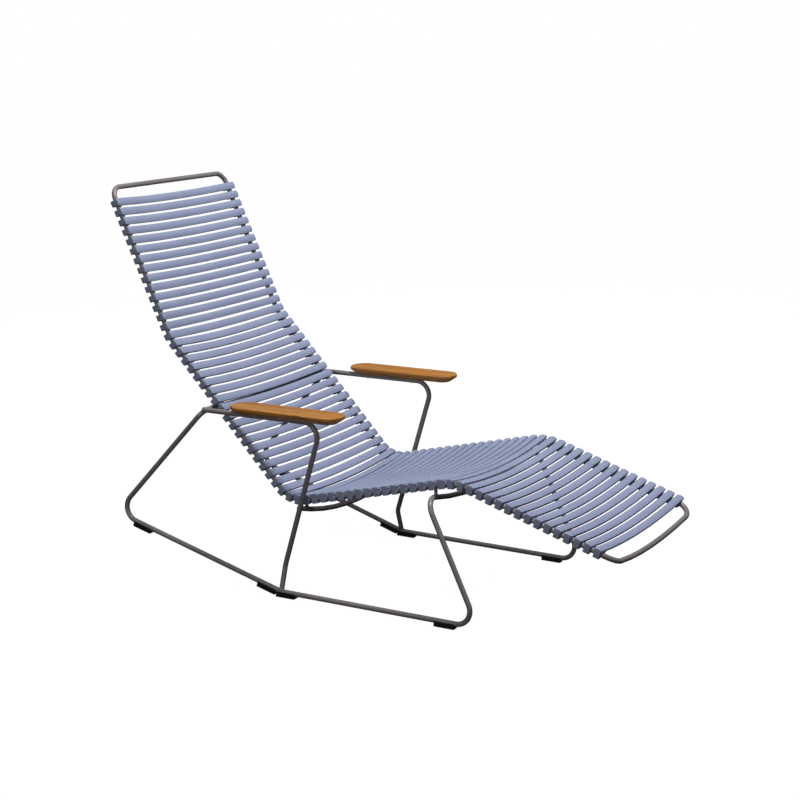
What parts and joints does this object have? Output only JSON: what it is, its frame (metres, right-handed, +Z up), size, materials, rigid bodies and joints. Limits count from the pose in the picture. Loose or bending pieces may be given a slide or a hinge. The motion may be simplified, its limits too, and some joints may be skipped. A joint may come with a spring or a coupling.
{
  "type": "rocking chaise lounge",
  "caption": "Rocking chaise lounge: slatted lounge on a bent tube base whose runners have a kink to tip on, with wooden armrests.",
  "frame": {"origin": "on the floor, under the middle of the bounding box, with the lounge standing on the front halves of its runners", "axes": "+Z up; +X to the sitter's left; -Y towards the foot end, so the sitter faces -Y"},
  "size_m": [0.6932, 1.5236, 1.069],
  "materials": {
    "slat": "satin",
    "tube": "satin",
    "wood": "oiled",
    "pad": "matte",
    "screw": "plain"
  },
  "bodies": {
    "root": {"seat_rail_left": "tube", "seat_rail_right": "tube", "head_crossbar": "tube", "foot_crossbar": "tube", "side_tube_left": "tube", "side_tube_right": "tube", "rear_crossbar": "tube", "knee_crossbar": "tube", "arm_tube_left": "tube", "arm_tube_right": "tube", "armrest_left": "wood", "armrest_right": "wood", "armrest_screws": "screw", "seat_crossbar": "tube", "seat_post_left": "tube", "seat_post_right": "tube", "knee_post_left": "tube", "knee_post_right": "tube", "pad_front_left": "pad", "pad_mid_front_left": "pad", "pad_mid_rear_left": "pad", "pad_rear_left": "pad", "pad_front_right": "pad", "pad_mid_front_right": "pad", "pad_mid_rear_right": "pad", "pad_rear_right": "pad", "slats_01_to_02": "slat", "slats_03_to_04": "slat", "slats_05_to_06": "slat", "slats_07_to_08": "slat", "slats_09_to_10": "slat", "slats_11_to_12": "slat", "slats_13_to_14": "slat", "slats_15_to_16": "slat", "slats_17_to_18": "slat", "slats_19_to_20": "slat", "slats_21_to_22": "slat", "slats_23_to_24": "slat", "slats_25_to_26": "slat", "slats_27_to_28": "slat", "slats_29_to_30": "slat", "slats_31_to_32": "slat", "slats_33_to_34": "slat", "slats_35_to_36": "slat", "slats_37_to_38": "slat", "slats_39_to_40": "slat", "slats_41_to_42": "slat", "slats_43_to_44": "slat", "slats_45_to_46": "slat", "slats_47_to_48": "slat", "slats_49_to_50": "slat", "slats_51_to_52": "slat", "slats_53_to_54": "slat", "slats_55_to_56": "slat", "slats_57_to_58": "slat", "slats_59_to_60": "slat", "slats_61_to_62": "slat", "slats_63_to_64": "slat", "slats_65_to_66": "slat", "slats_67_to_68": "slat"}
  },
  "joints": []
}
